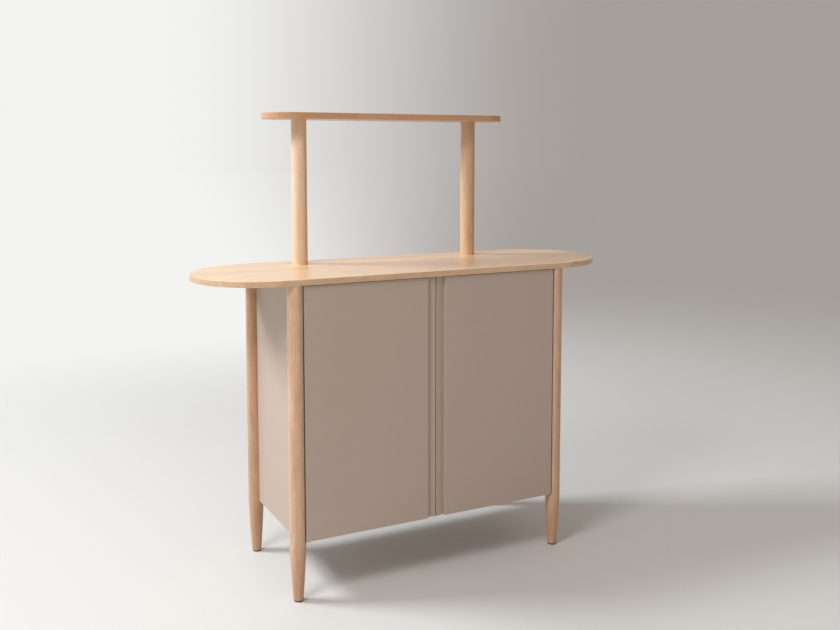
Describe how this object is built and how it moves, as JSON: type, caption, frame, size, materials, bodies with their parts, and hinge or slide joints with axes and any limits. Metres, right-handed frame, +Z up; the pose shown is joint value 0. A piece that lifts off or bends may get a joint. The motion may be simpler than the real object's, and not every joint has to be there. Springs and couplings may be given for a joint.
{
  "type": "bar cabinet",
  "caption": "Standing bar cabinet: lacquered cupboard with pivot doors between turned legs, under an oval wooden worktop, with round posts carrying a narrow oval upper shelf.",
  "frame": {"origin": "on the floor, under the centre of the worktop", "axes": "+X to the right seen from the doors, +Y to the back, +Z up; the doors face -Y"},
  "size_m": [1.55, 0.5, 1.596],
  "materials": {
    "oak": "satin oiled oak, straight grain",
    "lacquer": "satin beige-grey lacquer on board",
    "dowel": "plain beech",
    "steel": "zinc-plated",
    "brass": "turned brass",
    "washer": "natural nylon",
    "glide": "dark matt plastic",
    "catch": "beige plastic housing",
    "buffer": "soft clear-grey buffer"
  },
  "bodies": {
    "cabinet": {"back_panel": "lacquer", "back_panel_screws": "steel", "bottom_panel": "lacquer", "carcass_dowels": "dowel", "catch_left": "catch", "catch_right": "catch", "centre_partition": "lacquer", "glide_back_left": "glide", "glide_back_right": "glide", "glide_front_left": "glide", "glide_front_right": "glide", "glide_screws": "steel", "leg_back_left": "oak", "leg_back_right": "oak", "leg_dowels": "dowel", "leg_front_left": "oak", "leg_front_right": "oak", "lower_pin_left": "steel", "lower_pin_right": "steel", "partition_dowels": "dowel", "pivot_plate_left": "steel", "pivot_plate_right": "steel", "pivot_plate_screws": "steel", "post_base_inserts": "brass", "post_bolts": "steel", "post_left": "oak", "post_right": "oak", "post_top_inserts": "brass", "post_washers": "steel", "shelf_left": "lacquer", "shelf_pins_left": "steel", "shelf_pins_right": "steel", "shelf_right": "lacquer", "side_panel_dowels": "dowel", "side_panel_left": "lacquer", "side_panel_right": "lacquer", "thrust_washer_left": "washer", "thrust_washer_right": "washer", "top_panel": "lacquer", "upper_bush_left": "brass", "upper_bush_right": "brass", "upper_shelf": "oak", "upper_shelf_inserts": "brass", "upper_shelf_studs": "steel", "worktop": "oak", "worktop_screws": "steel"},
    "door_left": {"door_left": "lacquer", "lower_bush_left": "brass", "upper_pin_left": "steel", "strike_left": "steel", "door_buffers_left": "buffer"},
    "door_right": {"door_right": "lacquer", "lower_bush_right": "brass", "upper_pin_right": "steel", "strike_right": "steel", "door_buffers_right": "buffer"}
  },
  "joints": [
    {"name": "door_left_swing", "type": "hinge", "parent": "cabinet", "child": "door_left", "pos_m": [-0.467, -0.233, 0.6], "axis": [0, 0, -1], "range_deg": [0, 110]},
    {"name": "door_right_swing", "type": "hinge", "parent": "cabinet", "child": "door_right", "pos_m": [0.467, -0.233, 0.6], "axis": [0, 0, 1], "range_deg": [0, 110]}
  ]
}
